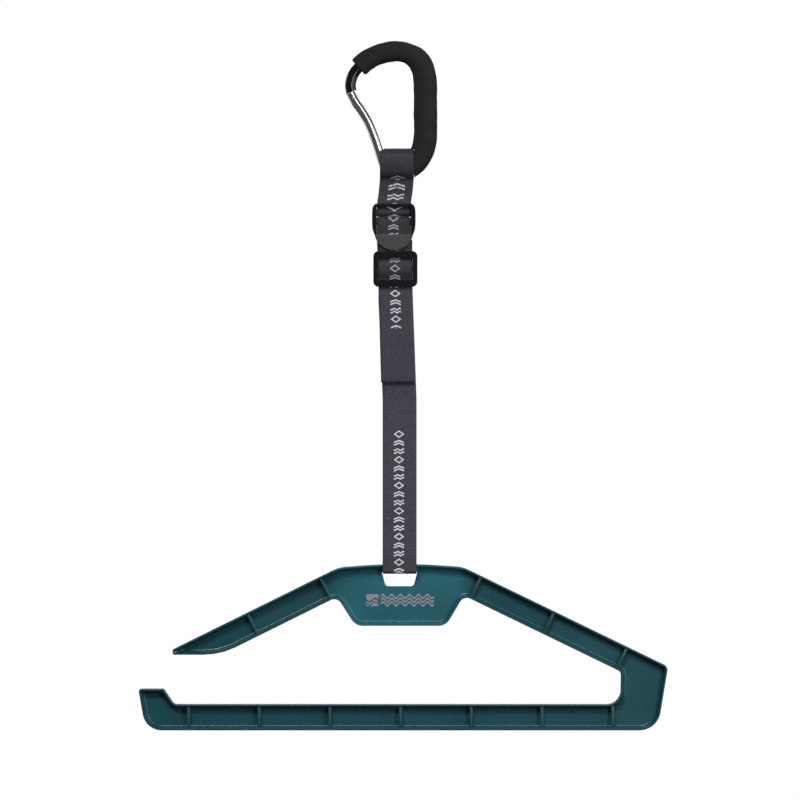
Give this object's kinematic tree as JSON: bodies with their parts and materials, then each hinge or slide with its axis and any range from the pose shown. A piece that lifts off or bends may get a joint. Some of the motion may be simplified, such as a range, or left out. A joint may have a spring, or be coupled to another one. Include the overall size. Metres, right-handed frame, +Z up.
{
  "type": "drying hanger with carabiner strap",
  "caption": "Moulded drying hanger for wetsuits and harnesses on an adjustable webbing strap with a ladder-lock, a tri-glide and a foam-covered snap carabiner.",
  "frame": {"origin": "the hang point: the lowest point of the foam under the top of the carabiner, at the middle of its thickness", "axes": "+Z up along the strap, +X to the hanger's closed end, -Y towards the front"},
  "size_m": [0.4687, 0.0236, 0.6111],
  "materials": {
    "carabiner_metal": "gloss black anodised aluminium",
    "foam": "matt closed-cell foam",
    "gate_metal": "polished aluminium",
    "steel_pins": "bright steel",
    "webbing": "woven polyester webbing, near black navy, with a printed wave motif",
    "thread": "black bonded thread",
    "buckle_plastic": "black acetal",
    "teal_plastic": "glossy teal polypropylene"
  },
  "bodies": {
    "carabiner": {"carabiner_frame": "carabiner_metal", "foam_grip": "foam", "gate_rivet": "steel_pins", "anchor_loop": "webbing"},
    "gate": {"gate_arm": "gate_metal", "latch_pin": "steel_pins", "gate_plunger": "steel_pins", "gate_spring": "steel_pins"},
    "anchor": {"anchor_loop_base": "webbing", "anchor_box_stitch": "thread"},
    "ladder_lock": {"ladder_lock_buckle": "buckle_plastic"},
    "strap": {"strap_over_lock_bar": "webbing", "back_strand_top": "webbing", "front_strand_middle": "webbing", "back_strand_middle": "webbing"},
    "tri_glide": {"tri_glide_buckle": "buckle_plastic", "strap_over_tri_glide": "webbing", "strap_end_loop": "webbing", "strap_end_stitch": "thread", "front_strand_top": "webbing"},
    "tail": {"strap_tail": "webbing", "tail_hem_stitch": "thread"},
    "strap_foot": {"front_strand_lower": "webbing", "back_strand_lower": "webbing"},
    "hanger": {"hanger_moulding": "teal_plastic", "lower_loop": "webbing"}
  },
  "joints": [
    {"name": "gate_hinge", "type": "hinge", "parent": "carabiner", "child": "gate", "pos_m": [-0.0126, 0, -0.0972], "axis": [0, 1, 0], "range_deg": [0, 28], "stiffness_Nm_per_rad": 0.12, "springref_deg": -20.05, "deforming": ["anchor_loop"]},
    {"name": "loop_swing", "type": "hinge", "parent": "carabiner", "child": "anchor", "pos_m": [0, 0, -0.1044], "axis": [1, 0, 0], "range_deg": [-30, 30]},
    {"name": "ladder_lock_tilt", "type": "hinge", "parent": "anchor", "child": "ladder_lock", "pos_m": [-0.0055, -0.001, -0.1338], "axis": [-1, 0, 0], "range_deg": [0, 20]},
    {"name": "strap_turn_at_lock_bar", "type": "hinge", "parent": "ladder_lock", "child": "strap", "pos_m": [-0.0055, -0.0012, -0.1426], "axis": [-1, 0, 0], "range_deg": [-20, 0]},
    {"name": "tri_glide_slide", "type": "slide", "parent": "strap", "child": "tri_glide", "axis": [0, 0, -1], "range_m": [0, 0.03], "deforming": ["strap_over_tri_glide", "front_strand_top"]},
    {"name": "tail_slide", "type": "slide", "parent": "tri_glide", "child": "tail", "axis": [0, 0, -1], "range_m": [-0.044, 0.04], "deforming": ["strap_tail"]},
    {"name": "strap_length", "type": "slide", "parent": "strap", "child": "strap_foot", "axis": [0, 0, 1], "range_m": [-0.022, 0.02], "deforming": ["front_strand_middle", "back_strand_middle"]},
    {"name": "hanger_swing", "type": "hinge", "parent": "strap_foot", "child": "hanger", "pos_m": [0, 0, -0.4378], "axis": [1, 0, 0], "range_deg": [-30, 30], "deforming": ["front_strand_lower", "back_strand_lower"]}
  ],
  "couplings": [
    {"joint": "strap_turn_at_lock_bar", "follows": "ladder_lock_tilt", "ratio": -1},
    {"joint": "tail_slide", "follows": "strap_length", "ratio": 2}
  ]
}
